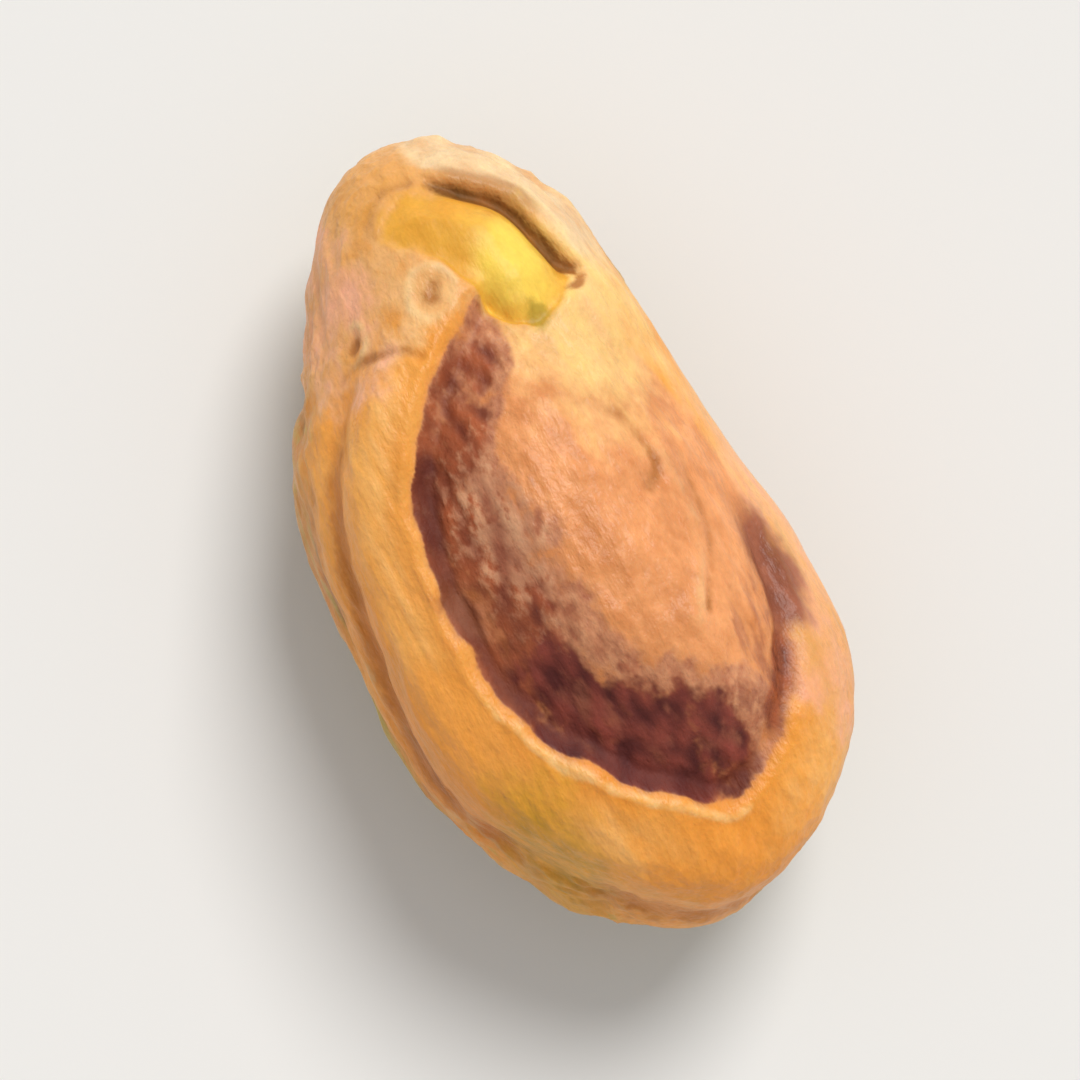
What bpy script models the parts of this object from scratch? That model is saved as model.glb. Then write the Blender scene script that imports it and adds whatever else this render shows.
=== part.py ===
# A shelled pistachio kernel with its skin on, lying on a small flat spot.
# The torn tip points along +X and +Z is up. Seen from above with the tip pointing away,
# the right hand side is -Y.
#
# Every place on the kernel is given by two numbers: its share of the length, 0 at the tip
# and 1 at the blunt end, and its angle round the long axis, 0 on top and positive to the right.

import math

import bmesh
import bpy
import numpy as np
from mathutils import Matrix, Vector, noise

# Overall size, in metres
MM = 0.001
LENGTH = 17.5 * MM
WIDTH = 9.5 * MM
HEIGHT = 8.6 * MM

# Body: (share of the length, millimetres). The fullness is a half width or half height
# divided by an ellipse's, so 4.5 all along would be an ellipsoid 9 mm across.
CENTRE_SHIFT = (
    (0, 0.7), (0.08, 0.86), (0.15, 0.9), (0.25, 0.44), (0.36, 0.02),
    (0.5, 0.02), (0.68, 0), (0.85, 0.32), (0.94, 0.22), (1, -0.15),
)
SIDE_FULLNESS = (
    (0, 4.4), (0.15, 4.3), (0.27, 4.52), (0.36, 4.6), (0.54, 4.72),
    (0.64, 4.93), (0.78, 5.3), (0.92, 5.1), (1, 4.5),
)
TOP_FULLNESS = ((0, 3.7), (0.25, 4.05), (0.55, 4.3), (0.8, 4.6), (1, 4.3))
BOTTOM_FULLNESS = ((0, 3.5), (0.25, 4.1), (0.55, 4.35), (0.8, 4.5), (1, 4.2))
FLAT_SPOT_DEPTH = 0.18 * MM

# Purple patch: a lens on top, leaning to the right
PATCH_START = 0.205
PATCH_END = 0.875
PATCH_ANGLE = 15
PATCH_HALF_ANGLES = (48, 56)
PATCH_POINTEDNESS = 0.6
PATCH_STEP = 0.5 * MM
PATCH_WALL = (-0.25 * MM, 0.45 * MM)
PATCH_DOME = 0.86 * MM
PATCH_DOME_REACH = 1.3 * MM
PATCH_OUTLINE_POINTS = 28
SHOULDER_SOFTNESS = 0.75
SHOULDER_ANGLES = (15, 40)
SHOULDER_SHARES = (0.5, 0.66)

# The dome is full to the right of a line of (share, millimetres to the right) points,
# and left of it only a low floor
DOME_EDGE = (
    (0.24, 0.9), (0.35, 0.2), (0.44, -0.5), (0.57, -0.4), (0.66, 0.1), (0.73, 1.2), (0.82, 2.1),
)
DOME_EDGE_SOFTNESS = 1.3 * MM
DOME_FLOOR = 0.4

# Rolled rim round the patch, with a shallow crease beyond it
RIM_HEIGHT = 0.4 * MM
RIM_CROWN = 1.05 * MM
RIM_HALF_WIDTH = 0.8 * MM
RIM_SHARES = (0.18, 0.3)
RIM_WIDTHS = ((0.2, 0.9), (0.4, 1), (0.55, 1.2), (0.75, 1.5), (0.9, 1.45), (1, 1.35))
CREASE_DEPTH = 0.15 * MM
CREASE_OFFSET = 2.3 * MM
CREASE_HALF_WIDTH = 0.4 * MM

# Torn tip: the bare flesh and the gap under the lifted skin, as (share, angle) points
FLESH_OUTLINE = (
    (0.09, -19), (0.066, -2), (0.072, 13), (0.104, 30), (0.127, 38), (0.178, 43), (0.236, 49),
    (0.256, 41), (0.268, 34), (0.272, 29), (0.262, 23), (0.229, 14), (0.179, 7), (0.136, -6),
    (0.114, -17),
)
GAP_LINE = (
    (0.055, 10), (0.072, 17), (0.104, 33), (0.127, 40.5), (0.178, 45.5), (0.214, 49.5), (0.252, 55),
)
FLESH_DEPTH = 0.2 * MM
FLESH_BULGE = 0.14 * MM
FLESH_BULGE_REACH = 1.2 * MM
FLESH_EDGE = 0.26 * MM
GAP_DEPTH = 0.42 * MM
GAP_HALF_WIDTH = 0.26 * MM
LIP_HEIGHT = 0.2 * MM
LIP_FOOT = 0.2 * MM
LIP_CREST = 0.5 * MM
LIP_END = 1.9 * MM
LIP_SHARES = (0.03, 0.07, 0.2, 0.27)

# Shrivelled skin on the sides and the back: ridges run from end to end
WRINKLE_HEIGHT = 0.22 * MM
WRINKLE_WIDTH = 1.2 * MM
WRINKLE_LENGTH = 9 * MM
WRINKLE_START = 2.2 * MM
WRINKLE_FADE = 1.4 * MM
WRINKLE_CREST = 0.75
WRINKLE_SHARPNESS = 2
WRINKLE_SHARES = (0.03, 0.2, 0.88, 0.99)
SUTURE_ANGLES = (-98, 112)
SUTURE_SHARES = (0.12, 0.94)
SUTURE_SWAY = 5
SUTURE_WAVES = 9
SUTURE_POINTS = 12
SUTURE_HEIGHT = 0.16 * MM
SUTURE_HALF_WIDTH = 0.5 * MM
LUMP_HEIGHT = 0.1 * MM
LUMP_SIZE = 3.4 * MM

# Mesh: faces are packed closer on the top and towards the tip, where the fine forms are
SEGMENTS_AROUND = 78
RINGS_ALONG = 68
TOP_PACKING = 0.36
TIP_PACKING = 0.2
LINE_STEPS = 8
CUT_SNAP = 0.03 * MM
SHORTEST = 1e-9 * MM

SKIN_COLOUR = (0.68, 0.37, 0.11, 1)
SKIN_ROUGHNESS = 0.55


def through_keys(keys, share):
    # Smooth curve through a few (share, value) keys, by cubic pieces.
    places, values = np.array(keys, float).T
    slopes = np.gradient(values, places)
    i = np.clip(np.searchsorted(places, share) - 1, 0, len(places) - 2)
    step = places[i + 1] - places[i]
    u = (share - places[i]) / step
    start = values[i] * (1 + 2 * u) + slopes[i] * step * u
    end = values[i + 1] * (3 - 2 * u) - slopes[i + 1] * step * (1 - u)
    return start * (1 - u) ** 2 + end * u**2


def smooth_step(low, high, value):
    u = np.clip((value - low) / (high - low), 0, 1)
    return u * u * (3 - 2 * u)


def hump(value, centre, half_width):
    return np.exp(-(((value - centre) / half_width) ** 2))


def body_surface(share, angle):
    # Points of the plain rounded body, with angles in radians.
    roundness = 2 * np.sqrt(np.clip(share * (1 - share), 0, None))
    fullness = np.where(
        np.cos(angle) > 0,
        through_keys(TOP_FULLNESS, share),
        through_keys(BOTTOM_FULLNESS, share),
    )
    shift = through_keys(CENTRE_SHIFT, share)
    half_width = roundness * through_keys(SIDE_FULLNESS, share)
    x = LENGTH * (0.5 - share)
    y = -MM * (shift + half_width * np.sin(angle))
    z = MM * roundness * fullness * np.cos(angle)
    return np.stack([x, y, z], axis=-1)


def patch_outline():
    # The lens: two arcs that meet in blunt points at its start and end.
    u = 0.5 - 0.5 * np.cos(np.linspace(0, math.pi, PATCH_OUTLINE_POINTS))
    spread = (4 * u * (1 - u)) ** PATCH_POINTEDNESS
    share = PATCH_START + u * (PATCH_END - PATCH_START)
    left = np.stack([share, PATCH_ANGLE - PATCH_HALF_ANGLES[0] * spread], axis=1)
    right = np.stack([share, PATCH_ANGLE + PATCH_HALF_ANGLES[1] * spread], axis=1)[-2:0:-1]
    return np.concatenate([left, right])


def line_distance(points, line, closed):
    # Distance from each point to a line drawn on the body through (share, degrees) points.
    line = np.array(line, float)
    if closed:
        line = np.concatenate([line, line[:1]])
    knots = np.linspace(0, len(line) - 1, LINE_STEPS * len(line))
    share, angle = (np.interp(knots, np.arange(len(line)), column) for column in line.T)
    path = body_surface(share, np.radians(angle))
    start, run = path[:-1], np.diff(path, axis=0)
    nearest = np.full(len(points), np.inf)
    for a, ab in zip(start, run):
        u = np.clip((points - a) @ ab / max(ab @ ab, SHORTEST**2), 0, 1)
        nearest = np.minimum(nearest, np.linalg.norm(points - a - u[:, None] * ab, axis=1))
    return nearest


def is_inside(share, angle, outline):
    # Which places lie inside a closed outline of (share, degrees) points.
    inside = np.zeros(len(share), bool)
    degrees = np.degrees(angle)
    corners = np.array(outline, float)
    for (s0, d0), (s1, d1) in zip(corners, np.roll(corners, -1, axis=0)):
        crosses = (s0 > share) != (s1 > share)
        at = d0 + (share - s0) * (d1 - d0) / (s1 - s0 if s1 != s0 else 1)
        inside ^= crosses & (degrees < at)
    return inside


def depth_inside(points, share, angle, outline):
    # Distance to an outline, positive inside it and negative outside.
    distance = line_distance(points, outline, closed=True)
    return np.where(is_inside(share, angle, outline), distance, -distance)


def patch_relief(points, inside, share, angle):
    # A step down at the border, a dome that is fullest on the right, and the rolled rim outside,
    # which widens towards the blunt end. On the right shoulder the border is soft.
    on_shoulder = smooth_step(*SHOULDER_ANGLES, np.degrees(angle))
    on_shoulder = on_shoulder * (1 - smooth_step(*SHOULDER_SHARES, share))
    step = -PATCH_STEP * smooth_step(*PATCH_WALL, inside)
    dome = PATCH_DOME * (1 - np.exp(-np.clip(inside, 0, None) / PATCH_DOME_REACH))
    beside = np.clip(share, DOME_EDGE[0][0], DOME_EDGE[-1][0])
    past_edge = -points[:, 1] - MM * through_keys(DOME_EDGE, beside)
    full = smooth_step(-DOME_EDGE_SOFTNESS, DOME_EDGE_SOFTNESS, past_edge)
    dome = dome * (DOME_FLOOR + (1 - DOME_FLOOR) * full)
    rolled = inside / through_keys(RIM_WIDTHS, np.clip(share, RIM_WIDTHS[0][0], RIM_WIDTHS[-1][0]))
    rim = RIM_HEIGHT * hump(rolled, -RIM_CROWN, RIM_HALF_WIDTH)
    rim = rim - CREASE_DEPTH * hump(rolled, -CREASE_OFFSET, CREASE_HALF_WIDTH)
    rim = rim * smooth_step(*RIM_SHARES, share)
    return (step + dome + rim) * (1 - SHOULDER_SOFTNESS * on_shoulder)


def tip_relief(points, share, angle):
    # Bare flesh in a shallow bed, a dark gap along its right edge, and the lifted skin beyond.
    bed = depth_inside(points, share, angle, FLESH_OUTLINE)
    flesh = FLESH_BULGE * smooth_step(FLESH_EDGE, FLESH_BULGE_REACH, bed)
    flesh = flesh - FLESH_DEPTH * smooth_step(-FLESH_EDGE, FLESH_EDGE, bed)
    gap_distance = line_distance(points, GAP_LINE, closed=False)
    gap = -GAP_DEPTH * hump(gap_distance, 0, GAP_HALF_WIDTH)
    beside = np.clip(share, GAP_LINE[0][0], GAP_LINE[-1][0])
    outer = np.degrees(angle) > through_keys(GAP_LINE, beside)
    lip = LIP_HEIGHT * outer * smooth_step(LIP_FOOT, LIP_CREST, gap_distance)
    lip = lip * (1 - smooth_step(LIP_CREST, LIP_END, gap_distance))
    lip = lip * smooth_step(*LIP_SHARES[:2], share) * (1 - smooth_step(*LIP_SHARES[2:], share))
    return flesh + gap + lip


def skin_relief(points, share, angle, inside_patch):
    # Lengthwise ridges on the sides and the back, the seam between the two seed halves,
    # and slow lumps all over.
    wrinkled = smooth_step(WRINKLE_START, WRINKLE_START + WRINKLE_FADE, -inside_patch)
    wrinkled *= smooth_step(*WRINKLE_SHARES[:2], share)
    wrinkled *= 1 - smooth_step(*WRINKLE_SHARES[2:], share)
    streak = np.array([
        noise.noise(Vector((p[0] / WRINKLE_LENGTH, p[1] / WRINKLE_WIDTH, p[2] / WRINKLE_WIDTH)))
        for p in points
    ])
    ridges = WRINKLE_HEIGHT * wrinkled * (WRINKLE_CREST - WRINKLE_SHARPNESS * np.abs(streak))
    lumps = LUMP_HEIGHT * np.array([noise.noise(Vector(p) / LUMP_SIZE) for p in points])
    seam = np.zeros(len(points))
    along = np.linspace(*SUTURE_SHARES, SUTURE_POINTS)
    for seam_angle in SUTURE_ANGLES:
        line = np.stack([along, seam_angle + SUTURE_SWAY * np.sin(SUTURE_WAVES * along)], axis=1)
        away = line_distance(points, line, closed=False)
        seam += SUTURE_HEIGHT * hump(away, 0, SUTURE_HALF_WIDTH)
    return ridges + lumps + seam * wrinkled


def shape_body(mesh):
    # Turn the unit sphere's points into the kernel's body, then raise the relief on it.
    ball = np.array([v.co for v in mesh.verts])
    along = np.arccos(np.clip(ball[:, 0], -1, 1))
    share = (1 - np.cos(along - TIP_PACKING * np.sin(along))) / 2
    angle = np.arctan2(-ball[:, 1], ball[:, 2])
    angle = angle - TOP_PACKING * np.sin(angle)
    points = body_surface(share, angle)
    for vert, point in zip(mesh.verts, points):
        vert.co = point
    mesh.normal_update()
    inside_patch = depth_inside(points, share, angle, patch_outline())
    relief = patch_relief(points, inside_patch, share, angle)
    relief = relief + tip_relief(points, share, angle)
    relief = relief + skin_relief(points, share, angle, inside_patch)
    for vert, height in zip(mesh.verts, relief):
        vert.co += vert.normal * float(height)


def cut_flat_spot(mesh):
    # Slice off the lowest part and close the cut, so the kernel rests on a true flat face.
    level = min(v.co.z for v in mesh.verts) + FLAT_SPOT_DEPTH
    everything = mesh.verts[:] + mesh.edges[:] + mesh.faces[:]
    cut = bmesh.ops.bisect_plane(
        mesh, geom=everything, dist=CUT_SNAP,
        plane_co=(0, 0, level), plane_no=(0, 0, -1), clear_outer=True,
    )["geom_cut"]
    for vert in (g for g in cut if isinstance(g, bmesh.types.BMVert)):
        vert.co.z = level
    bmesh.ops.holes_fill(mesh, edges=[e for e in mesh.edges if e.is_boundary])


def fit_to_size(mesh):
    # Bring the box to the driving sizes, with the origin under its middle.
    corners = np.array([v.co for v in mesh.verts])
    low, high = corners.min(axis=0), corners.max(axis=0)
    middle = Vector(((low[0] + high[0]) / 2, (low[1] + high[1]) / 2, low[2]))
    stretch = np.array([LENGTH, WIDTH, HEIGHT]) / (high - low)
    bmesh.ops.translate(mesh, verts=mesh.verts, vec=-middle)
    bmesh.ops.scale(mesh, verts=mesh.verts, vec=Vector(stretch))


def skin_material():
    material = bpy.data.materials.new("skin")
    material.use_nodes = True
    shader = material.node_tree.nodes["Principled BSDF"]
    shader.inputs["Base Color"].default_value = SKIN_COLOUR
    shader.inputs["Roughness"].default_value = SKIN_ROUGHNESS
    shader.inputs["Metallic"].default_value = 0
    return material


def make_kernel():
    mesh = bmesh.new()
    bmesh.ops.create_uvsphere(
        mesh, u_segments=SEGMENTS_AROUND, v_segments=RINGS_ALONG, radius=1,
        matrix=Matrix.Rotation(math.pi / 2, 4, "Y"),
    )
    shape_body(mesh)
    cut_flat_spot(mesh)
    fit_to_size(mesh)
    bmesh.ops.triangulate(mesh, faces=[f for f in mesh.faces if len(f.verts) == 4])
    data = bpy.data.meshes.new("kernel")
    mesh.to_mesh(data)
    mesh.free()
    data.shade_smooth()
    data.materials.append(skin_material())
    bpy.context.collection.objects.link(bpy.data.objects.new("kernel", data))


for old in list(bpy.data.objects):
    bpy.data.objects.remove(old, do_unlink=True)
make_kernel()
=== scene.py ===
import math

import bmesh
import bpy
import numpy as np
from mathutils import Matrix, Vector, noise


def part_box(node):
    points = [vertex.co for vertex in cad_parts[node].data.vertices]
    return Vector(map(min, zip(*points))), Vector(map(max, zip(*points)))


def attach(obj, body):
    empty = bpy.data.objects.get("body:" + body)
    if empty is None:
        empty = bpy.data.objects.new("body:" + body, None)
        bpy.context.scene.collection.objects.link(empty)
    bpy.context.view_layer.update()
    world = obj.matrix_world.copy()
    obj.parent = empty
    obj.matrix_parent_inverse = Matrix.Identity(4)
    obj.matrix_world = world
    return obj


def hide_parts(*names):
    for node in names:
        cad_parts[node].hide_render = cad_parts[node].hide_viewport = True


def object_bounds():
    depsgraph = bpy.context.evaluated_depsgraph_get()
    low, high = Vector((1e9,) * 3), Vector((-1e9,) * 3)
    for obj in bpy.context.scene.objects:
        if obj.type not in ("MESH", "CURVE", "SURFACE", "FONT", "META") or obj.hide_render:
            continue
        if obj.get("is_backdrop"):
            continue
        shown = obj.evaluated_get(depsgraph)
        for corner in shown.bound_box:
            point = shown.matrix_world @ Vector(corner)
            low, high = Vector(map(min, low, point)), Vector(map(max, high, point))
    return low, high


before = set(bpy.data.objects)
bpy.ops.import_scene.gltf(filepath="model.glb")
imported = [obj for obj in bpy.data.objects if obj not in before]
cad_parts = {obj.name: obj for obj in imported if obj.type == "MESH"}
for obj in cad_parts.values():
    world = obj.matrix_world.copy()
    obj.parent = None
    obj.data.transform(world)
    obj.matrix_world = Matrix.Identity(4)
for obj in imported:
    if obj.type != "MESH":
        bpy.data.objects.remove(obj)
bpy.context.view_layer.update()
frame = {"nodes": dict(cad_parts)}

print("frame loaded:", ", ".join(frame["nodes"]))

# The kernel's tip points along +X. A place on it is a share of the length, 0 at the tip and 1 at
# the blunt end, and an angle round the long axis, 0 on top and positive towards -Y.
# Sizes are in millimetres until the mesh is finished, and then turned to metres.
metresPerMm = 0.001

body = {
    "length": 17.5,
    # (share, mm): how far the outline's middle lies towards -Y
    "centreShift": ((0, 0.7), (0.08, 0.86), (0.15, 0.9), (0.25, 0.44), (0.36, 0.02),
                    (0.5, 0.02), (0.68, 0), (0.85, 0.32), (0.94, 0.22), (1, -0.15)),
    # (share, mm): half widths and half heights, over an ellipse's
    "sideFullness": ((0, 4.4), (0.15, 4.3), (0.27, 4.52), (0.36, 4.6), (0.54, 4.72),
                     (0.64, 4.93), (0.78, 5.3), (0.92, 5.1), (1, 4.5)),
    "topFullness": ((0, 3.7), (0.25, 4.05), (0.55, 4.3), (0.8, 4.6), (1, 4.3)),
    "bottomFullness": ((0, 3.5), (0.25, 4.1), (0.55, 4.35), (0.8, 4.5), (1, 4.2)),
    "flatSpotDepth": 0.18,
    "lumpHeight": 0.1,
    "lumpSize": 3.4,
    "segmentsAround": 330,
    "ringsAlong": 286,
    "topPacking": 0.36,  # faces sit closer on the top and near the tip
    "tipPacking": 0.2,
}


def throughKeys(keys, share):
    # smooth curve through a few (share, value) keys
    places, values = np.array(keys, float).T
    slopes = np.gradient(values, places)
    i = np.clip(np.searchsorted(places, share) - 1, 0, len(places) - 2)
    step = places[i + 1] - places[i]
    u = (share - places[i]) / step
    start = values[i] * (1 + 2 * u) + slopes[i] * step * u
    end = values[i + 1] * (3 - 2 * u) - slopes[i + 1] * step * (1 - u)
    return start * (1 - u) ** 2 + end * u**2


def smoothStep(low, high, value):
    u = np.clip((value - low) / (high - low), 0, 1)
    return u * u * (3 - 2 * u)


def hump(value, centre, halfWidth):
    return np.exp(-(((value - centre) / halfWidth) ** 2))


def bodySurface(share, angle):
    roundness = 2 * np.sqrt(np.clip(share * (1 - share), 0, None))
    fullness = np.where(np.cos(angle) > 0, throughKeys(body["topFullness"], share),
                        throughKeys(body["bottomFullness"], share))
    halfWidth = roundness * throughKeys(body["sideFullness"], share)
    x = body["length"] * (0.5 - share)
    y = -throughKeys(body["centreShift"], share) - halfWidth * np.sin(angle)
    z = roundness * fullness * np.cos(angle)
    return np.stack([x, y, z], axis=-1)


def noiseAt(points, size, seed=0):
    # one value per point; size is the grain in mm, or three sizes for stretched grain
    scaled = points / np.array(size, float) + seed * 17.3
    return np.array([noise.noise(Vector(p)) for p in scaled])


def smoothLine(line, closed=False, steps=110):
    # a line of (share, degrees) points with its corners rounded
    line = np.array(line, float)
    if closed:
        line = np.concatenate([line, line[:1]])
    knots = np.linspace(0, len(line) - 1, steps)
    columns = [throughKeys(list(enumerate(column)), knots) for column in line.T]
    return np.stack(columns, axis=1)


def nearestOnLine(points, line, steps=110, closed=False):
    # way from the nearest place on a line to each point, the line's run there
    # and how far along it that is, 0 to 1
    share, angle = smoothLine(line, closed, steps).T
    path = bodySurface(share, np.radians(angle))
    nearest = np.full(len(points), np.inf)
    away, run = np.zeros((2, *points.shape))
    along = np.zeros(len(points))
    for k, (a, b) in enumerate(zip(path[:-1], path[1:])):
        ab = b - a
        u = np.clip((points - a) @ ab / max(ab @ ab, 1e-12), 0, 1)
        offset = points - a - u[:, None] * ab
        distance = np.linalg.norm(offset, axis=1)
        closer = distance < nearest
        nearest[closer] = distance[closer]
        away[closer] = offset[closer]
        run[closer] = ab / max(np.linalg.norm(ab), 1e-9)
        along[closer] = (k + u[closer]) / (len(path) - 1)
    return nearest, away, run, along


def depthInside(points, share, angle, outline):
    # distance to a closed outline, positive inside it
    inside = np.zeros(len(share), bool)
    degrees = np.degrees(angle)
    corners = smoothLine(outline, closed=True)
    for (s0, d0), (s1, d1) in zip(corners, np.roll(corners, -1, axis=0)):
        crosses = (s0 > share) != (s1 > share)
        inside ^= crosses & (degrees < d0 + (share - s0) * (d1 - d0) / (s1 - s0 or 1))
    distance = nearestOnLine(points, outline, closed=True)[0]
    return np.where(inside, distance, -distance)


# The patch is where the seed hung in its shell: a lens with a groove round a low dome.
patch = {
    "start": 0.205,
    "end": 0.875,
    "angle": 15,
    "halfAngles": (48, 56),
    "pointedness": 0.6,
    "step": 0.5,
    "wall": (-0.17, 0.38),
    "dome": 0.86,
    "domeReach": 1.3,
    "domeShares": (0.2, 0.4),
    "domeFloor": 0.4,  # the dome is low left of its edge and full right of it
    "domeEdge": ((0.24, 0.9), (0.35, 0.2), (0.44, -0.5), (0.57, -0.4), (0.66, 0.1), (0.73, 1.2),
                 (0.82, 2.1)),
    "domeEdgeSoftness": 1.3,
    # (share, mm to the right): where the dark strip left of the dome ends
    "darkEdge": ((0.24, 1.3), (0.28, 1.15), (0.33, 0.6), (0.4, -0.5), (0.48, -0.5), (0.57, -0.4),
                 (0.66, 0), (0.71, 1), (0.75, 2), (0.83, 2.2)),
    "darkSoftness": (0.5, 0.9),  # from the tip half to the blunt half
    "darkSoftShares": (0.35, 0.5),
    "darkStart": 0.66,  # paler where the strip begins
    "darkFullShares": (0.27, 0.36),
    "hazeReach": (0.7, 2),  # mm past the dark strip, from the tip half to the blunt half
    "hazeShares": (0.33, 0.5),
    "plumEdge": (0, 0.5),
    "paintEdge": (-0.05, 0.1),
    "shoulderSoftness": 0.75,  # the border melts away on the right of the tip half
    "shoulderAngles": (15, 40),
    "shoulderShares": (0.5, 0.66),
    "edgeWaver": 0.11,
    "edgeWaverSize": 0.7,
    "knobHeight": 0.05,
    "knobSize": (0.6, 0.34, 0.34),
    "fineHeight": 0.03,
    "fineSize": (0.24, 0.16, 0.16),
    "swellHeight": 0.09,
    "swellSize": 1.1,
    "grainEdge": (0, 0.5),
}

rim = {
    "height": 0.42,
    "crown": 1.05,
    "halfWidth": 0.8,
    "shares": (0.18, 0.3),
    # (share, factor): the roll widens towards the blunt end
    "widths": ((0.2, 0.9), (0.4, 1), (0.55, 1.2), (0.75, 1.5), (0.9, 1.45), (1, 1.35)),
    "creaseDepth": 0.16,
    "creaseOffset": 2.25,
    "creaseHalfWidth": 0.4,
    "edgeHeight": 0.035,  # thin skin edge that catches the light
    "edgeHalfWidth": 0.09,
    "edgeAngles": (45, 15),
    "lowShares": ((0.48, 0.64), (0.86, 0.74)),  # deeper orange on the lower left
    "lowAngles": (35, 5),
}


def patchOutline():
    u = 0.5 - 0.5 * np.cos(np.linspace(0, math.pi, 28))
    spread = (4 * u * (1 - u)) ** patch["pointedness"]
    share = patch["start"] + u * (patch["end"] - patch["start"])
    left = np.stack([share, patch["angle"] - patch["halfAngles"][0] * spread], axis=1)
    right = np.stack([share, patch["angle"] + patch["halfAngles"][1] * spread], axis=1)[-2:0:-1]
    return np.concatenate([left, right])


def between(pair, amount):
    # from the first of two values to the second as the amount goes from 0 to 1
    return pair[0] + (pair[1] - pair[0]) * amount


def mmPast(line, points, share):
    # mm to the right of a line of (share, mm) keys
    return -points[:, 1] - throughKeys(line, np.clip(share, line[0][0], line[-1][0]))


def rollPlace(share, inside):
    # distance from the patch's border, in widths of the roll
    ends = rim["widths"][0][0], rim["widths"][-1][0]
    return inside / throughKeys(rim["widths"], np.clip(share, *ends))


def patchRelief(points, share, angle, inside):
    onShoulder = smoothStep(*patch["shoulderAngles"], np.degrees(angle))
    onShoulder = onShoulder * (1 - smoothStep(*patch["shoulderShares"], share))
    step = -patch["step"] * smoothStep(*patch["wall"], inside)
    soft = patch["domeEdgeSoftness"]
    full = smoothStep(-soft, soft, mmPast(patch["domeEdge"], points, share))
    dome = patch["dome"] * (1 - np.exp(-np.clip(inside, 0, None) / patch["domeReach"]))
    dome *= between((patch["domeFloor"], 1), full)
    dome *= smoothStep(*patch["domeShares"], share)
    rolled = rollPlace(share, inside)
    roll = rim["height"] * hump(rolled, -rim["crown"], rim["halfWidth"])
    roll -= rim["creaseDepth"] * hump(rolled, -rim["creaseOffset"], rim["creaseHalfWidth"])
    thinEdge = hump(inside, patch["wall"][0], rim["edgeHalfWidth"])
    roll += rim["edgeHeight"] * thinEdge * smoothStep(*rim["edgeAngles"], np.degrees(angle))
    form = step + dome + roll * smoothStep(*rim["shares"], share)
    form *= 1 - patch["shoulderSoftness"] * onShoulder

    knobs = noiseAt(points, patch["knobSize"], 1)
    grain = patch["knobHeight"] * knobs + patch["fineHeight"] * noiseAt(points, patch["fineSize"], 2)
    grain += patch["swellHeight"] * noiseAt(points, patch["swellSize"], 8)
    return form + grain * smoothStep(*patch["grainEdge"], inside), knobs


# The tip was torn when the kernel was shelled: bare flesh in a shallow bed, and along its right
# side the skin stands off as a thin lip over a dark gap.
tear = {
    "fleshOutline": ((0.098, -19), (0.082, -15), (0.071, -5), (0.069, 5), (0.076, 15),
                     (0.1, 35), (0.124, 43), (0.176, 48), (0.228, 52), (0.25, 46),
                     (0.268, 36), (0.272, 29), (0.262, 23), (0.229, 14), (0.179, 7),
                     (0.136, -6), (0.12, -14)),
    "gapLine": ((0.055, 10), (0.072, 17), (0.104, 33), (0.127, 40.5), (0.178, 45.5),
                (0.214, 49.5), (0.252, 55)),
    "fleshDepth": 0.17,
    "fleshEdge": 0.12,
    "fleshBulge": 0.22,
    "fleshBulgeReach": 1.1,
    "fleshLump": 0.05,
    "fleshLumpSize": (0.9, 0.5, 0.5),
    "fleshLumpEdge": (0, 0.2),
    "softShares": (0.09, 0.2),  # near the tip the torn skin thins out into the flesh
    "softStep": 0.35,
    "softBlend": 0.6,
    "bareEdge": (-0.3, 0.1),
    "levelled": 0.7,  # share of the patch's relief that the flesh covers
    "levelledEdge": (0, 0.5),
    "raggedness": 0.12,
    "raggedSize": 0.45,
    # across the gap: (mm from its line, height, sideways shift), flesh on the minus side
    "gapProfile": ((-0.65, 0, 0), (-0.4, -0.03, 0), (-0.2, -0.1, 0), (-0.04, -0.22, 0.03),
                   (0.07, -0.32, 0.08), (0.15, -0.31, 0.09), (0.22, -0.18, 0.03), (0.28, -0.03, -0.03),
                   (0.35, 0.05, -0.06), (0.46, 0.09, -0.07), (0.7, 0.1, -0.04), (1.1, 0.08, -0.01),
                   (1.7, 0.04, 0), (2.3, 0, 0)),
    "fadeOut": 0.4,
    # shares of the gap's line by which it is open, and by which the lip is lifted
    "openEnds": (0.3, 0.92),
    "liftedEnds": (0.35, 0.72),
    "lipAtEnds": 0.3,
    "lipSide": (0.2, 0.5),
    "lipEdge": (0.4, 0.25),
    "lipWave": 0.04,
    "lipWaveSize": 0.8,
    "lipWaveBand": (0.7, 0.4),
    # the lip's cream: mm from the gap's line, shares and mm to the right
    "creamStart": (0.25, 0.6),
    "creamEnd": (3.2, 1.2),
    "creamShares": (0.28, 0.19),
    "creamRight": (0.7, 1.9),
}


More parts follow.
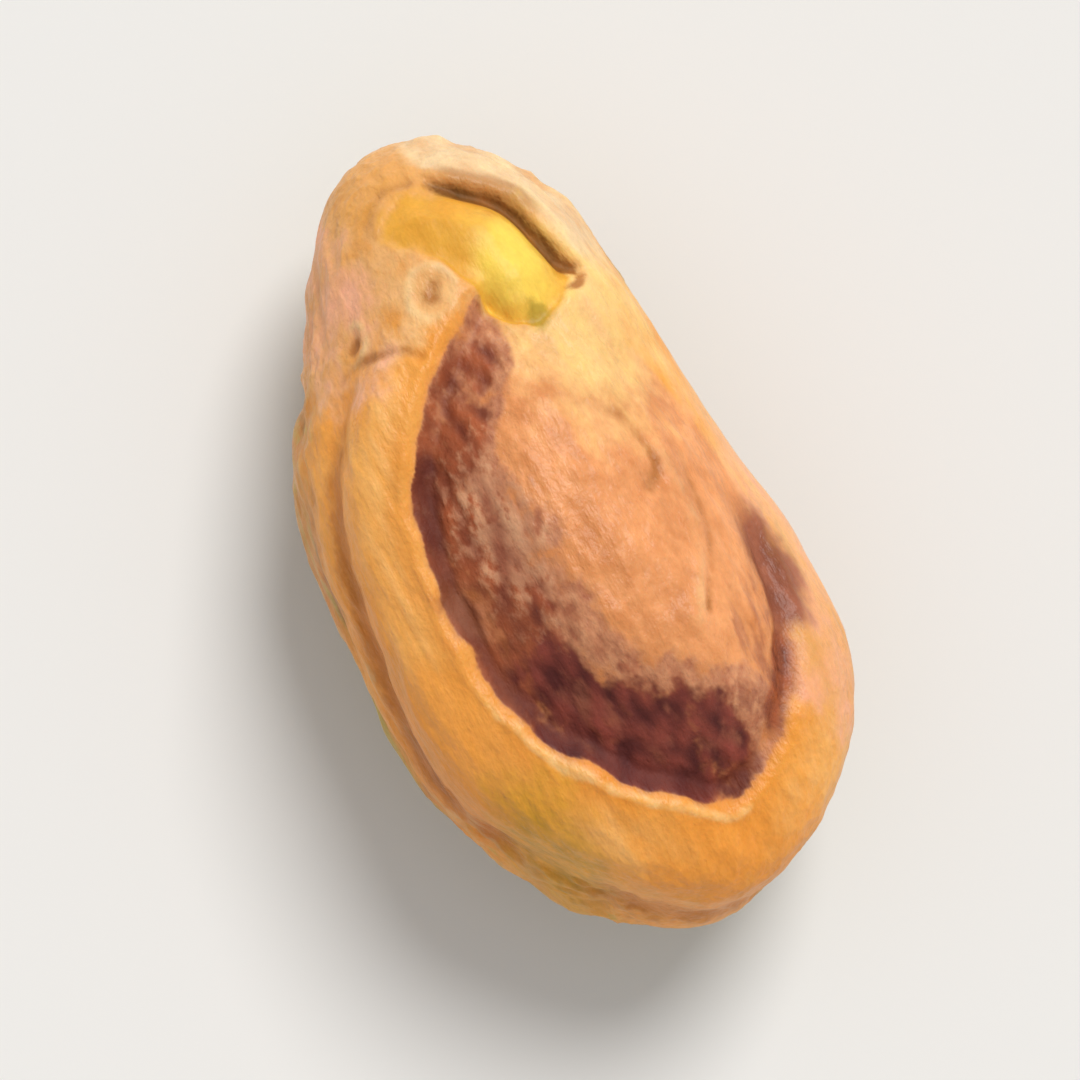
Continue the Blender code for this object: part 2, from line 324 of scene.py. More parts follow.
def gapShape(points, normals):
    # height and sideways shift of the torn lip and its gap
    distance, away, run, along = nearestOnLine(points, tear["gapLine"])
    sideways = np.cross(run, normals)
    sideways /= np.maximum(np.linalg.norm(sideways, axis=1, keepdims=True), 1e-9)
    sideways *= np.sign(-sideways[:, 1:2])  # outwards is -Y
    across = distance * np.sign((away * sideways).sum(axis=1))
    places, heights, shifts = np.array(tear["gapProfile"]).T
    opening, lifted = [smoothStep(0, start, along) * smoothStep(1, end, along)
                       for start, end in (tear["openEnds"], tear["liftedEnds"])]
    lip = between((lifted, opening), tear["lipAtEnds"])
    strength = between((opening, lip), smoothStep(*tear["lipSide"], across))
    strength *= smoothStep(0, tear["fadeOut"], places[-1] - distance)
    waver = 0.5 * tear["raggedness"] * noiseAt(points, tear["raggedSize"], 3)
    height = np.interp(across + waver * hump(across, *tear["lipEdge"]), places, heights) * strength
    wave = tear["lipWave"] * noiseAt(points, tear["lipWaveSize"], 9)
    height += wave * hump(across, *tear["lipWaveBand"]) * strength
    shift = np.interp(across, places, shifts) * strength
    return height, shift[:, None] * sideways, across, strength


def fleshRelief(points, share, bed):
    firm = smoothStep(*tear["softShares"], share)
    bulge = tear["fleshBulge"] * smoothStep(tear["fleshEdge"], tear["fleshBulgeReach"], bed)
    lumps = tear["fleshLump"] * noiseAt(points, tear["fleshLumpSize"], 10)
    bulge += lumps * smoothStep(*tear["fleshLumpEdge"], bed)
    step = tear["fleshDepth"] * smoothStep(-tear["fleshEdge"], tear["fleshEdge"], bed)
    blend = tear["fleshEdge"] + tear["softBlend"] * (1 - firm)
    return bulge - step * between((tear["softStep"], 1), firm), smoothStep(-blend, blend, bed)


# Small scars and creases: (line, radius round it, depth, half width, tint). A radius makes a ring,
# and a tint above 0 is painted shade, brown in the dents and creases; a tint below 0 is a pale
# painted highlight on raised rings and ridges.
scars = (
    (((0.181, -5), (0.189, -5.8)), 0.5, -0.04, 0.17, -0.6),
    (((0.181, -5), (0.189, -5.8)), 0, 0.11, 0.28, 1),
    (((0.195, -42), (0.199, -43.5)), 0.4, -0.03, 0.15, -0.5),
    (((0.195, -42), (0.199, -43.5)), 0, 0.1, 0.18, 0.9),
    (((0.224, -48), (0.22, -40), (0.222, -30), (0.231, -20), (0.246, -12)), 0, 0.07, 0.17, 0.66),
    (((0.058, 10), (0.054, -10), (0.068, -22), (0.098, -22)), 0, 0.04, 0.24, 0.45),
    (((0.4, 36), (0.42, 39), (0.48, 40.5), (0.503, 33.6)), 0, 0.06, 0.22, 0.58),
    (((0.484, 52), (0.54, 48), (0.597, 42.4), (0.656, 32)), 0, 0.055, 0.17, 0.5),
    (((0.47, 44), (0.54, 43), (0.6, 37), (0.66, 27)), 0, -0.07, 0.24, -0.4),
    (((0.246, 55), (0.253, 51), (0.253, 46)), 0, 0.08, 0.12, 0.85),
    (((0.02, 66), (0.026, 74)), 0, -0.15, 0.24, -0.8),
)
scarWear = {"mean": 0.9, "swing": 0.6, "size": 0.5}


def scarRelief(points):
    dentShade, ridgeHighlight, depth = np.zeros((3, len(points)))
    worn = scarWear["mean"] + scarWear["swing"] * noiseAt(points, scarWear["size"], 15)
    for line, radius, deep, halfWidth, tint in scars:
        mark = hump(nearestOnLine(points, line, steps=16)[0], radius, halfWidth) * worn
        # brown painted shade in the dents and creases, pale painted highlight on the raised rings and
        # ridges
        dentShade = np.maximum(dentShade, mark * tint)
        ridgeHighlight = np.maximum(ridgeHighlight, -mark * tint)
        depth += deep * mark
    return depth, dentShade, ridgeHighlight


# The skin shrank as the kernel dried, which drew it into ridges from end to end.
wrinkles = {
    "height": 0.22,
    "size": (9, 1.2, 1.2),
    "crest": 0.75,
    "fineCrest": 0.5,
    "foldCrest": 0.35,
    "fineFolds": 0.5,
    "warp": 0.35,  # mm that the fine ridges stray from side to side
    "warpSize": 1.7,
    "fineHeight": 0.1,
    "fineSize": (3.2, 0.5, 0.5),
    "finestHeight": 0.03,
    "finestSize": (0.9, 0.22, 0.22),
    "dentHeight": 0.07,
    "dentSize": (1.6, 1, 1),
    "onRim": 0.36,  # share of the fine ridges that the taut rim keeps
    "start": 2.2,
    "fade": 1.4,
    "borderFade": 0.3,
    "shares": (0.03, 0.2, 0.88, 0.99),
    "seamAngles": (-98, 112),
    "seamShares": (0.12, 0.94),
    "seamSway": 5,
    "seamBends": 9,
    "seamHeight": 0.16,
    "seamHalfWidth": 0.5,
}


def wrinkleRelief(points, share, inside):
    amount = smoothStep(wrinkles["start"], wrinkles["start"] + wrinkles["fade"], -inside)
    amount *= smoothStep(*wrinkles["shares"][:2], share)
    amount *= 1 - smoothStep(*wrinkles["shares"][2:], share)
    coarse = noiseAt(points, wrinkles["size"])
    ridges = wrinkles["height"] * amount * (wrinkles["crest"] - 2 * np.abs(coarse))
    strays = [noiseAt(points, wrinkles["warpSize"], seed) for seed in (11, 12, 13)]
    strayed = points + wrinkles["warp"] * np.stack(strays, axis=1)
    fine = wrinkles["fineCrest"] - 2 * np.abs(noiseAt(strayed, wrinkles["fineSize"], 4))
    finest = wrinkles["fineCrest"] - 2 * np.abs(noiseAt(strayed, wrinkles["finestSize"], 5))
    dents = wrinkles["dentHeight"] * noiseAt(strayed, wrinkles["dentSize"], 14)
    onSkin = between((wrinkles["onRim"], 1), amount)
    small = wrinkles["fineHeight"] * fine + wrinkles["finestHeight"] * finest + dents
    ridges += small * onSkin * smoothStep(0, wrinkles["borderFade"], -inside)
    places = np.linspace(*wrinkles["seamShares"], 12)
    for seamAngle in wrinkles["seamAngles"]:
        sway = wrinkles["seamSway"] * np.sin(wrinkles["seamBends"] * places)
        line = np.stack([places, seamAngle + sway], axis=1)
        away = nearestOnLine(points, line, steps=60)[0]
        ridges += wrinkles["seamHeight"] * hump(away, 0, wrinkles["seamHalfWidth"]) * amount
    # colour mask for painted shade in the wrinkles' troughs and painted highlight on their crests
    folds = (wrinkles["foldCrest"] - 2 * np.abs(coarse)) * amount
    return ridges, folds + wrinkles["fineFolds"] * fine * onSkin


# Strips of colour: (what they follow, mm from it, half width, the shares and the degrees over which
# they come in). Those that follow the roll are in its widths. Over a pair that falls they end.
anyShare = (-1, 0)
anySide = (200, 190)
strips = {
    "streaks": ("border", 1.3, 0.9, (0.58, 0.7), anySide),
    # painted shade: dark brown at the foot of the patch's wall under the rim
    "groove": ("border", 0.26, 0.3, (0.26, 0.4), (45, 20)),
    "sliver": ("border", 0.45, 0.42, (0.69, 0.74), (28, 40)),
    # darker along the patch's right border
    "rightStain": ("border", 0.2, 0.95, anyShare, (40, 60)),
    "rimInner": ("border", -0.3, 0.3, anyShare, (15, -10)),
    # painted highlight: a light line along the rim's inner edge
    "rimEdge": ("border", -0.16, 0.15, (0.5, 0.68), (35, 5)),
    # painted highlight: lighter tan along the crest of the rim's roll
    "rimCrest": ("roll", -0.75, 0.5, rim["shares"], anySide),
    # painted shade: darker orange brown in the crease outside the roll
    "crease": ("roll", -2.25, 0.5, (0.2, 0.35), anySide),
    # painted shade: dark brown in the gap under the lifted lip
    "gap": ("gap", 0.07, 0.18, anyShare, anySide),
    # painted shade: a brown band on the lip just beside the gap
    "lipHollow": ("gap", 0.44, 0.24, (0.19, 0.13), anySide),
}
# the short ones: share at the middle and half length
shortStrips = {"rightStain": (0.66, 0.11), "rimInner": (0.45, 0.2)}

# Spots of colour: (share, mm to the right, half length, half width), 1 at the centre and 0 on the edge
spots = {
    "bulge": (0.5, 2.5, 3.3, 1.9),
    # cream on the dome's upper right: partly its own colour, partly a painted highlight
    "shoulder": (0.27, 3, 3.7, 2.3),
    # painted highlight: pink on the raised grains where the dark strip meets the dome
    "dusty": (0.47, -0.7, 2.2, 1.2),
    "tanFleck": (0.53, -2.1, 1.4, 0.6),
    "plumEnd": (0.73, 0.2, 4, 3.6),
    "ochreEnd": (0.82, -2.8, 2.4, 1.3),
    "orangeEnd": (0.91, 0.4, 1.9, 2.4),
    "pinkTip": (0.13, -1.9, 2.6, 1.7),
    "peachFlank": (0.6, 5, 5.5, 1.5),
    "peachRim": (0.77, 4.1, 2.8, 1.1),
    "goldTip": (0.05, 0.3, 1.3, 2),
    "yolk": (0.197, 2.4, 1.3, 1.1),
    # painted shade: olive brown where the gap ends at the corner of the flesh
    "nick": (0.262, 2.45, 0.5, 0.4),
}

# "Below" is 0 on the kernel's sides, 1 underneath and -1 on top
skin = {
    "tipShares": (0.17, 0.32),
    "tipBelow": (0.1, 0.9),
    "tipLoss": 0.55,
    "flankShares": (0.2, 0.34),
    "spotBelow": (-0.1, 0.6),
    "spotLoss": 1.5,
}


def colourMasks(share, angle, points, inside, smoothInside):
    degrees, right, below = np.degrees(angle), -points[:, 1], -np.cos(angle)
    within = smoothStep(*patch["paintEdge"], inside)
    soft = between(patch["darkSoftness"], smoothStep(*patch["darkSoftShares"], share))
    reach = between(patch["hazeReach"], smoothStep(*patch["hazeShares"], share))
    full = between((patch["darkStart"], 1), smoothStep(*patch["darkFullShares"], share))
    pastDark = mmPast(patch["darkEdge"], points, share)
    outside = -rollPlace(share, smoothInside)
    lowStart, lowEnd = rim["lowShares"]
    masks = {
        "patchDepth": inside,
        "outside": outside,
        "flank": outside * smoothStep(*skin["flankShares"], share),
        "haze": within * smoothStep(reach, 0, pastDark),
        "dark": within * smoothStep(soft, -soft, pastDark) * full,
        "tipSkin": 1 - smoothStep(*skin["tipShares"], share)
                   - skin["tipLoss"] * smoothStep(*skin["tipBelow"], below),
        "rimLow": smoothStep(*lowStart, share) * smoothStep(*lowEnd, share)
                  * smoothStep(*rim["lowAngles"], degrees),
        "under": below,
    }
    for name, (middle, offset, halfLength, halfWidth) in spots.items():
        masks[name] = 1 - np.hypot((share - middle) * body["length"] / halfLength,
                                   (right - offset) / halfWidth)
        masks[name] -= skin["spotLoss"] * smoothStep(*skin["spotBelow"], below)
    masks["plumDark"] = masks["dark"] * smoothStep(*patch["plumEdge"], masks["plumEnd"])
    return masks


def stripMasks(share, angle, inside, across, gapStrength):
    measures = {"border": inside, "roll": rollPlace(share, inside), "gap": across}
    masks = {}
    for name, (measure, middle, halfWidth, shares, sides) in strips.items():
        masks[name] = hump(measures[measure], middle, halfWidth)
        masks[name] *= smoothStep(*shares, share) * smoothStep(*sides, np.degrees(angle))
        if measure == "gap":
            masks[name] *= gapStrength
    for name, (middle, halfLength) in shortStrips.items():
        masks[name] *= hump(share, middle, halfLength)
    return masks


def shapeKernel(mesh):
    ball = np.array([v.co for v in mesh.verts])
    along = np.arccos(np.clip(ball[:, 0], -1, 1))
    share = (1 - np.cos(along - body["tipPacking"] * np.sin(along))) / 2
    angle = np.arctan2(-ball[:, 1], ball[:, 2])
    angle = angle - body["topPacking"] * np.sin(angle)
    points = bodySurface(share, angle)
    for vert, point in zip(mesh.verts, points):
        vert.co = point
    mesh.normal_update()
    normals = np.array([v.normal for v in mesh.verts])

    smoothInside = depthInside(points, share, angle, patchOutline())
    inside = smoothInside + patch["edgeWaver"] * noiseAt(points, patch["edgeWaverSize"], 6)
    bed = depthInside(points, share, angle, tear["fleshOutline"])
    bed += tear["raggedness"] * noiseAt(points, tear["raggedSize"], 7)
    gapHeight, gapShift, across, gapStrength = gapShape(points, normals)
    ridges, folds = wrinkleRelief(points, share, smoothInside)
    patchForm, knobs = patchRelief(points, share, angle, inside)
    fleshForm, fleshTone = fleshRelief(points, share, bed)
    scarDepth, shadeBrown, scarPale = scarRelief(points)
    patchForm *= 1 - tear["levelled"] * smoothStep(*tear["levelledEdge"], bed)
    ridges *= 1 - smoothStep(*tear["bareEdge"], bed)
    height = patchForm + fleshForm + gapHeight + ridges - scarDepth
    height += body["lumpHeight"] * noiseAt(points, body["lumpSize"])
    moved = points + normals * height[:, None] + gapShift
    for vert, point in zip(mesh.verts, moved):
        vert.co = point

    masks = colourMasks(share, angle, points, inside, smoothInside)
    masks |= stripMasks(share, angle, inside, across, gapStrength)
    cream = smoothStep(*tear["creamStart"], across) * smoothStep(*tear["creamEnd"], across)
    cream *= smoothStep(*tear["creamShares"], share) * smoothStep(*tear["creamRight"], -points[:, 1])
    masks |= {"lip": cream, "flesh": fleshTone, "scar": shadeBrown, "scarPale": scarPale,
              # the knobs also drive painted shade between the patch's grains and painted highlight on
              # them
              "folds": folds, "knobs": 0.5 + knobs}
    return masks


def makeKernel():
    mesh = bmesh.new()
    bmesh.ops.create_uvsphere(mesh, u_segments=body["segmentsAround"], v_segments=body["ringsAlong"],
                              radius=1, matrix=Matrix.Rotation(math.pi / 2, 4, "Y"))
    masks = shapeKernel(mesh)
    layers = {name: mesh.verts.layers.float.new(name) for name in masks}
    for name, values in masks.items():
        for vert, value in zip(mesh.verts, values):
            vert[layers[name]] = float(value)

    # flat spot that it rests on
    level = min(v.co.z for v in mesh.verts) + body["flatSpotDepth"]
    bmesh.ops.bisect_plane(mesh, geom=mesh.verts[:] + mesh.edges[:] + mesh.faces[:], dist=1e-4,
                           plane_co=(0, 0, level), plane_no=(0, 0, -1), clear_outer=True)
    bmesh.ops.holes_fill(mesh, edges=[e for e in mesh.edges if e.is_boundary])

    # same box as the solid it stands for
    low, high = (np.array(corner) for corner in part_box("kernel"))
    corners = np.array([v.co for v in mesh.verts])
    ownLow, ownHigh = corners.min(axis=0), corners.max(axis=0)
    bmesh.ops.translate(mesh, verts=mesh.verts, vec=Vector(-ownLow))
    bmesh.ops.scale(mesh, verts=mesh.verts, vec=Vector((high - low) / (ownHigh - ownLow)))
    bmesh.ops.translate(mesh, verts=mesh.verts, vec=Vector(low))
    bmesh.ops.triangulate(mesh, faces=[f for f in mesh.faces if len(f.verts) > 4])

    data = bpy.data.meshes.new("driedKernel")
    mesh.to_mesh(data)
    mesh.free()
    data.shade_smooth()
    kernel = bpy.data.objects.new("driedKernel", data)
    bpy.context.collection.objects.link(kernel)
    return kernel


def fromHex(code):
    # sRGB hex to linear RGBA
    parts = [int(code[i:i + 2], 16) / 255 for i in (1, 3, 5)]
    return [c / 12.92 if c <= 0.04045 else ((c + 0.055) / 1.055) ** 2.4 for c in parts] + [1]


def addNode(tree, kind, settings, links):
    node = tree.nodes.new(kind)
    for name, value in settings.items():
        setattr(node, name, value)
    for socket, value in links.items():
        if isinstance(value, bpy.types.NodeSocket):
            tree.links.new(value, node.inputs[socket])
        else:
            node.inputs[socket].default_value = value
    return node


# Seed coat: a papery skin about 0.1 mm thick, dried and lightly roasted. It is satin where it lies
# tight on the seed, and its colour goes from tan through purple brown to cream and green.
coat = {
    "rimTan": "#FDB358",
    "rimOrange": "#F29A36",
    # pale tan for painted highlights on the rim's crest and inner edge and on raised scars
    "rimHighlight": "#FBCF8C",
    "cream": "#DDAA66",
    "creamTan": "#D27C2A",
    "greyOlive": "#BCA062",
    "olive": "#B3A54A",
    "green": "#9FA848",
    "backMauve": "#9A5746",
    "backRust": "#C0803F",
    # dark brown for painted shade in the wrinkles' troughs
    "troughShade": "#7F4728",
    # pale cream for painted highlight on the wrinkles' crests
    "crest": "#EEC488",
    "creaseTan": "#BE6C22",
    "ochre": "#EAA42C",
    "ochreOlive": "#BC8C1A",
    "orange": "#F09634",
    "tipPink": "#F4AC8A",
    "tipTan": "#EAA862",
    "salmon": "#F5A86C",
    "salmonTan": "#DC8A4E",
    "creamWarm": "#F7D07C",
    "peach": "#F9C482",
    "patchMauve": "#A66044",
    "patchRose": "#D8966C",
    "patchRed": "#B05A32",
    "patchDark": "#74301A",
    "plum": "#8A3C30",
    "plumDark": "#501716",
    "patchGrain": "#E6AE84",
    "grooveBrown": "#682C1C",
    "fleshYellow": "#F9D254",
    "fleshGold": "#E39A30",
    # olive brown for painted shade where the gap ends
    "gapEndShadeOlive": "#A58A24",
    "fleshAmber": "#EDAE3C",
    # dark brown for painted shade in the gap
    "gapShade": "#633F18",
    "lipCream": "#F4D6A4",
    "lipPink": "#EDC08E",
    "lipTan": "#C08C58",
    # brown for painted shade in dents and creases, in the gap and on the lip beside it
    "shadeBrown": "#A96424",
    "roughness": 0.4,
    "fleshRoughness": 0.46,
    "patchRoughness": 0.66,
    "ior": 1.46,
    "specularLevel": 0.38,
    "translucency": 0.14,
    "bleedMm": 0.4,  # how far light spreads under the skin
    "mottleMm": (0.95, 0.7, 0.7),
    "grainMm": (0.34, 0.24, 0.24),  # real cells are finer, this is the coarse mottle that shows
    "fibreMm": (2.6, 0.24, 0.24),
    "streakMm": (1.5, 0.5, 0.5),
    "blotchMm": (2.8, 1.6, 1.6),
    "poreMm": (0.14, 0.1, 0.1),
    # how much each noise lightens and darkens the skin, and the height of its relief
    "shades": (("mottle", 0.93, 1.05), ("fibre", 0.97, 1.03), ("pore", 0.94, 1.04)),
    "reliefMm": (("fibre", 0.016), ("grain", 0.018), ("pore", 0.008)),
    "fleshRelief": 0.5,  # the torn flesh is smoother than the skin
    "fleshBlend": (0.2, 0.8),
    "noiseRange": (0.3, 0.7),  # a noise's usual values, stretched to 0 to 1
}

# From the bottom layer up: the mask's attribute and the values where the layer starts and is full,
# how much noise wavers that edge, the layer's strength, and the two colours that a noise mixes.
paintLayers = (
    # painted highlight on the crest of the rim's roll
    ("rimCrest", 0.2, 1, "mottle", 0.4, 0.35, "rimTan", "rimHighlight", "fibre"),
    ("rimLow", 0.2, 0.9, "mottle", 0.38, 0.6, "rimOrange", "orange", "fibre"),
    # painted shade in the crease outside the rim's roll
    ("crease", 0.22, 1, "grain", 0.4, 0.7, "creaseTan", "creaseTan", "fibre"),
    ("outside", 2.8, 4.1, "fibre", 0.7, 0.8, "creamTan", "cream", "fibre"),
    ("flank", 3.4, 4.8, "mottle", 1, 0.5, "greyOlive", "cream", "mottle"),
    ("under", -0.1, 0.55, "mottle", 0.7, 0.85, "backMauve", "backRust", "fibre"),
    ("under", -0.1, 0.8, "fibre", 1.1, 0.6, "green", "olive", "blotch"),
    # painted shade in the troughs of the skin's wrinkles
    ("folds", -0.05, -0.75, "grain", 0.3, 0.6, "troughShade", "backMauve", "blotch"),
    # painted highlight on the crests of the skin's wrinkles
    ("folds", 0.25, 0.6, "grain", 0.3, 0.55, "crest", "cream", "fibre"),
    ("peachFlank", 0.05, 0.8, "mottle", 0.5, 0.8, "peach", "tipPink", "fibre"),
    ("peachRim", 0, 0.7, "mottle", 0.5, 0.8, "tipTan", "tipPink", "mottle"),
    ("ochreEnd", -0.1, 0.7, "mottle", 0.5, 0.8, "ochreOlive", "ochre", "fibre"),
    ("orangeEnd", -0.1, 0.7, "mottle", 0.5, 0.85, "orange", "rimOrange", "fibre"),
    ("tipSkin", 0.36, 0.95, "mottle", 0.7, 0.95, "tipTan", "peach", "mottle"),
    ("goldTip", 0, 0.8, "mottle", 0.5, 0.8, "fleshGold", "tipTan", "mottle"),
    ("pinkTip", -0.1, 0.6, "mottle", 0.6, 0.85, "tipTan", "tipPink", "mottle"),
    # painted highlight along the rim's inner edge
    ("rimEdge", 0.36, 1, "mottle", 0.7, 0.7, "rimHighlight", "rimTan", "grain"),
    ("rimInner", 0.25, 1, "mottle", 0.45, 0.45, "rimOrange", "creaseTan", "fibre"),
    ("patchDepth", -0.06, 0.14, "mottle", 0.12, 1, "salmonTan", "salmon", "mottle"),
    ("bulge", 0, 0.7, "mottle", 0.6, 0.6, "salmon", "salmonTan", "grain"),
    # cream on the dome's upper right, partly a painted highlight
    ("shoulder", 0, 0.75, "mottle", 0.4, 0.95, "peach", "creamWarm", "streak"),
    ("haze", 0.43, 0.9, "mottle", 0.85, 0.9, "patchMauve", "patchRose", "grain"),
    ("dark", 0.42, 0.85, "mottle", 0.8, 0.92, "patchDark", "patchRed", "knobs"),
    ("plumDark", 0.42, 0.9, "mottle", 0.8, 0.92, "plumDark", "plum", "knobs"),
    # painted highlight on the raised grains at the dark strip's edge
    ("dusty", 0, 0.8, "grain", 1.1, 0.7, "patchMauve", "patchGrain", "knobs"),
    ("tanFleck", 0.1, 0.8, "mottle", 1.1, 0.5, "creaseTan", "patchRose", "knobs"),
    ("streaks", 0.75, 1.35, "streak", 1.3, 0.55, "patchMauve", "plum", "knobs"),
    # painted shade under the rim's inner wall
    ("groove", 0.32, 1, "mottle", 0.6, 0.6, "grooveBrown", "plumDark", "mottle"),
    ("sliver", 0.2, 0.8, "mottle", 0.35, 0.95, "grooveBrown", "patchRed", "grain"),
    # darker along the patch's right border
    ("rightStain", 0.27, 0.86, "mottle", 0.5, 0.95, "patchDark", "patchMauve", "mottle"),
    # painted highlight on raised scar rings, ridges and the nub
    ("scarPale", 0.14, 0.8, "grain", 0.24, 0.7, "lipCream", "rimHighlight", "grain"),
    ("lip", 0.2, 1, "mottle", 0.38, 0.9, "lipPink", "lipCream", "mottle"),
    # painted shade on the lip beside the gap
    ("lipHollow", 0.2, 0.9, "mottle", 0.38, 0.7, "lipTan", "shadeBrown", "mottle"),
    ("flesh", 0.2, 0.8, "grain", 0.2, 1, "fleshGold", "fleshAmber", "blotch"),
    ("yolk", -0.2, 0.7, "mottle", 0.4, 1, "fleshYellow", "fleshYellow", "grain"),
    # painted shade where the gap ends
    ("nick", 0.1, 0.9, "grain", 0.5, 0.7, "gapEndShadeOlive", "gapEndShadeOlive", "grain"),
    # painted shade in the scars' dents and creases
    ("scar", 0.15, 0.85, "pore", 0.2, 0.85, "shadeBrown", "shadeBrown", "grain"),
    # painted shade in the gap under the lifted lip
    ("gap", 0.15, 0.75, "pore", 0.2, 0.92, "gapShade", "shadeBrown", "mottle"),
)


def makeSeedCoat():
    material = bpy.data.materials.new("driedSeedCoat")
    material.use_nodes = True
    tree = material.node_tree
    tree.nodes.clear()
    place = addNode(tree, "ShaderNodeTexCoord", {}, {}).outputs["Object"]
    noises = {}
    dim, bright = coat["noiseRange"]
    for name in ("mottle", "grain", "fibre", "streak", "blotch", "pore"):
        scale = [1 / (size * metresPerMm) for size in coat[name + "Mm"]]
        stretched = addNode(tree, "ShaderNodeMapping", {}, {"Vector": place, "Scale": scale})
        cells = addNode(tree, "ShaderNodeTexNoise", {}, {"Vector": stretched.outputs[0], "Scale": 1,
                                                         "Detail": 3, "Roughness": 0.55})
        noises[name] = addNode(tree, "ShaderNodeMapRange", {}, {
            "Value": cells.outputs["Fac"], "From Min": dim, "From Max": bright}).outputs["Result"]

    masks = {}
    for name in sorted({layer[0] for layer in paintLayers} | {"knobs"}):
        node = addNode(tree, "ShaderNodeAttribute", {"attribute_name": name}, {})
        masks[name] = node.outputs["Fac"]
    noises["knobs"] = masks["knobs"]  # painted shade between the patch's raised grains, and mostly a painted highlight on their tops

    colour = addNode(tree, "ShaderNodeMix", {"data_type": "RGBA"}, {
        0: noises["blotch"], 6: fromHex(coat["rimOrange"]), 7: fromHex(coat["rimTan"])}).outputs[2]
    for mask, low, high, edgeNoise, waver, strength, first, second, mixNoise in paintLayers:
        centred = addNode(tree, "ShaderNodeMath", {"operation": "SUBTRACT"}, {
            0: noises[edgeNoise], 1: 0.5}).outputs[0]
        edge = addNode(tree, "ShaderNodeMath", {"operation": "MULTIPLY_ADD"}, {
            0: centred, 1: waver, 2: masks[mask]}).outputs[0]
        amount = addNode(tree, "ShaderNodeMapRange", {"interpolation_type": "SMOOTHSTEP"}, {
            "Value": edge, "From Min": low, "From Max": high, "To Max": strength}).outputs["Result"]
        layer = addNode(tree, "ShaderNodeMix", {"data_type": "RGBA"}, {
            0: noises[mixNoise], 6: fromHex(coat[first]), 7: fromHex(coat[second])}).outputs[2]
        colour = addNode(tree, "ShaderNodeMix", {"data_type": "RGBA"}, {
            0: amount, 6: colour, 7: layer}).outputs[2]

    # fine light and dark that keeps the skin from looking painted
    for name, darkest, lightest in coat["shades"]:
        shade = addNode(tree, "ShaderNodeMapRange", {}, {
            "Value": noises[name], "To Min": darkest, "To Max": lightest}).outputs["Result"]
        colour = addNode(tree, "ShaderNodeMix", {"data_type": "RGBA", "blend_type": "MULTIPLY"}, {
            0: 1, 6: colour, 7: shade}).outputs[2]

    relief = None
    fleshStart, fleshFull = coat["fleshBlend"]
    crisp = addNode(tree, "ShaderNodeMapRange", {}, {
        "Value": masks["flesh"], "From Min": fleshStart, "From Max": fleshFull,
        "To Min": 1, "To Max": coat["fleshRelief"]}).outputs["Result"]
    for name, height in coat["reliefMm"]:
        links = {"Height": noises[name], "Distance": height * metresPerMm, "Strength": crisp}
        if relief:
            links["Normal"] = relief
        relief = addNode(tree, "ShaderNodeBump", {}, links).outputs["Normal"]
    roughness = addNode(tree, "ShaderNodeMapRange", {}, {
        "Value": masks["flesh"], "From Min": fleshStart, "From Max": fleshFull,
        "To Min": coat["roughness"], "To Max": coat["fleshRoughness"]}).outputs["Result"]
    for dull in ("dark", "gap"):
        roughness = addNode(tree, "ShaderNodeMix", {"data_type": "FLOAT"}, {
            0: masks[dull], 2: roughness, 3: coat["patchRoughness"]}).outputs[0]
    shader = addNode(tree, "ShaderNodeBsdfPrincipled", {}, {
        "Base Color": colour, "Roughness": roughness, "Normal": relief, "IOR": coat["ior"],
        "Specular IOR Level": coat["specularLevel"],
        "Subsurface Weight": coat["translucency"], "Subsurface Radius": (1, 0.5, 0.25),
        "Subsurface Scale": coat["bleedMm"] * metresPerMm})
    addNode(tree, "ShaderNodeOutputMaterial", {}, {"Surface": shader.outputs[0]})
    return material


studio = {
    "floorColour": "#F0EEEA",
    "floorRadius": 3,
    "skyHorizon": 0.8,
    "skyTop": 0.43,
    "skyHeights": (0.03, 0.4),
    "keyStrength": 2.12,
    "keyAngle": 24,  # degrees wide, which keeps its shadows soft
    "keyTilt": 37,
    "keyTurn": -24,
    "lens": 200,
    "frameMm": 22.4,
    "roll": -117.8,  # brings the tip to the upper left, as in the photograph
}


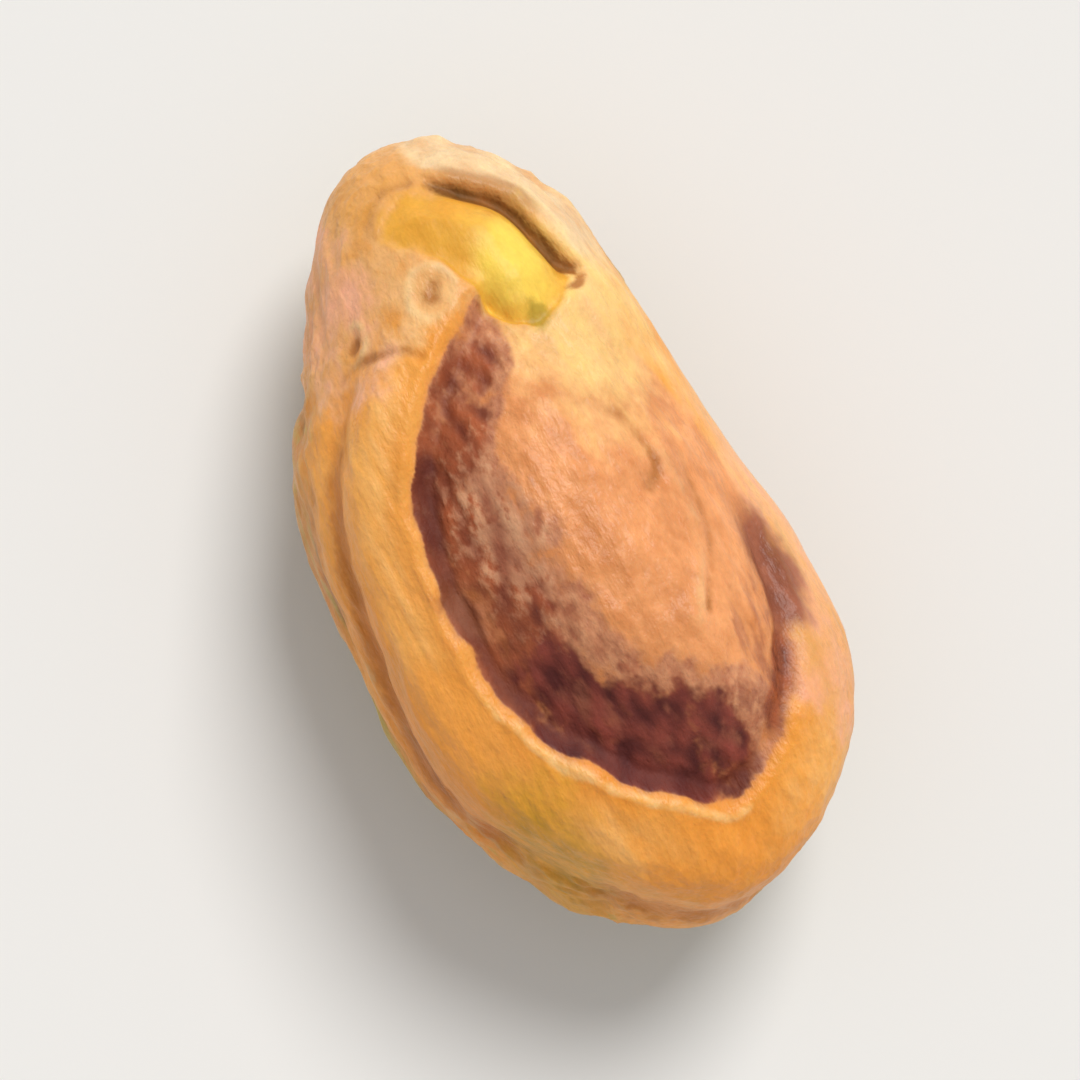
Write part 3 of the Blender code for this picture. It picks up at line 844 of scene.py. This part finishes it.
def makeStudio():
    scene = bpy.context.scene
    scene.view_settings.view_transform = "Standard"
    mesh = bmesh.new()
    bmesh.ops.create_circle(mesh, cap_ends=True, segments=96, radius=studio["floorRadius"])
    data = bpy.data.meshes.new("floor")
    mesh.to_mesh(data)
    mesh.free()
    floor = bpy.data.objects.new("floor", data)
    bpy.context.collection.objects.link(floor)
    paper = bpy.data.materials.new("matteCard")
    paper.use_nodes = True
    shader = paper.node_tree.nodes["Principled BSDF"]
    shader.inputs["Base Color"].default_value = fromHex(studio["floorColour"])
    shader.inputs["Roughness"].default_value = 0.9
    data.materials.append(paper)
    floor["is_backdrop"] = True

    world = bpy.data.worlds.new("softSky")
    scene.world = world
    world.use_nodes = True
    tree = world.node_tree
    tree.nodes.clear()
    direction = addNode(tree, "ShaderNodeTexCoord", {}, {}).outputs["Generated"]
    height = addNode(tree, "ShaderNodeSeparateXYZ", {}, {0: direction}).outputs["Z"]
    lowest, highest = studio["skyHeights"]
    glow = addNode(tree, "ShaderNodeMapRange", {}, {
        "Value": height, "From Min": lowest, "From Max": highest,
        "To Min": studio["skyHorizon"], "To Max": studio["skyTop"]}).outputs["Result"]
    sky = addNode(tree, "ShaderNodeBackground", {}, {"Color": (1, 1, 1, 1), "Strength": glow})
    addNode(tree, "ShaderNodeOutputWorld", {}, {"Surface": sky.outputs[0]})

    lamp = bpy.data.lights.new("key", "SUN")
    lamp.energy = studio["keyStrength"]
    lamp.angle = math.radians(studio["keyAngle"])
    key = bpy.data.objects.new("key", lamp)
    bpy.context.collection.objects.link(key)
    # the key comes from the top of the picture, turned to its right
    turn = Matrix.Rotation(math.radians(studio["roll"] + studio["keyTurn"]), 3, "Z")
    tilt = math.radians(studio["keyTilt"])
    toKey = turn @ Vector((0, math.sin(tilt), math.cos(tilt)))
    key.rotation_euler = toKey.to_track_quat("Z", "Y").to_euler()

    lens = bpy.data.cameras.new("camera")
    lens.lens = studio["lens"]
    low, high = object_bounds()
    middle = (low + high) / 2
    eye = bpy.data.objects.new("camera", lens)
    bpy.context.collection.objects.link(eye)
    away = studio["frameMm"] * metresPerMm * lens.lens / lens.sensor_width
    eye.location = middle + Vector((0, 0, away))
    eye.rotation_euler = (0, 0, math.radians(studio["roll"]))
    lens.clip_start = 0.005
    scene.camera = eye


print("modelling the kernel")
kernel = makeKernel()
kernel.data.materials.append(makeSeedCoat())
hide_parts("kernel")
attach(kernel, "root")
print("kernel:", len(kernel.data.polygons), "faces")

print("setting up the studio")
makeStudio()
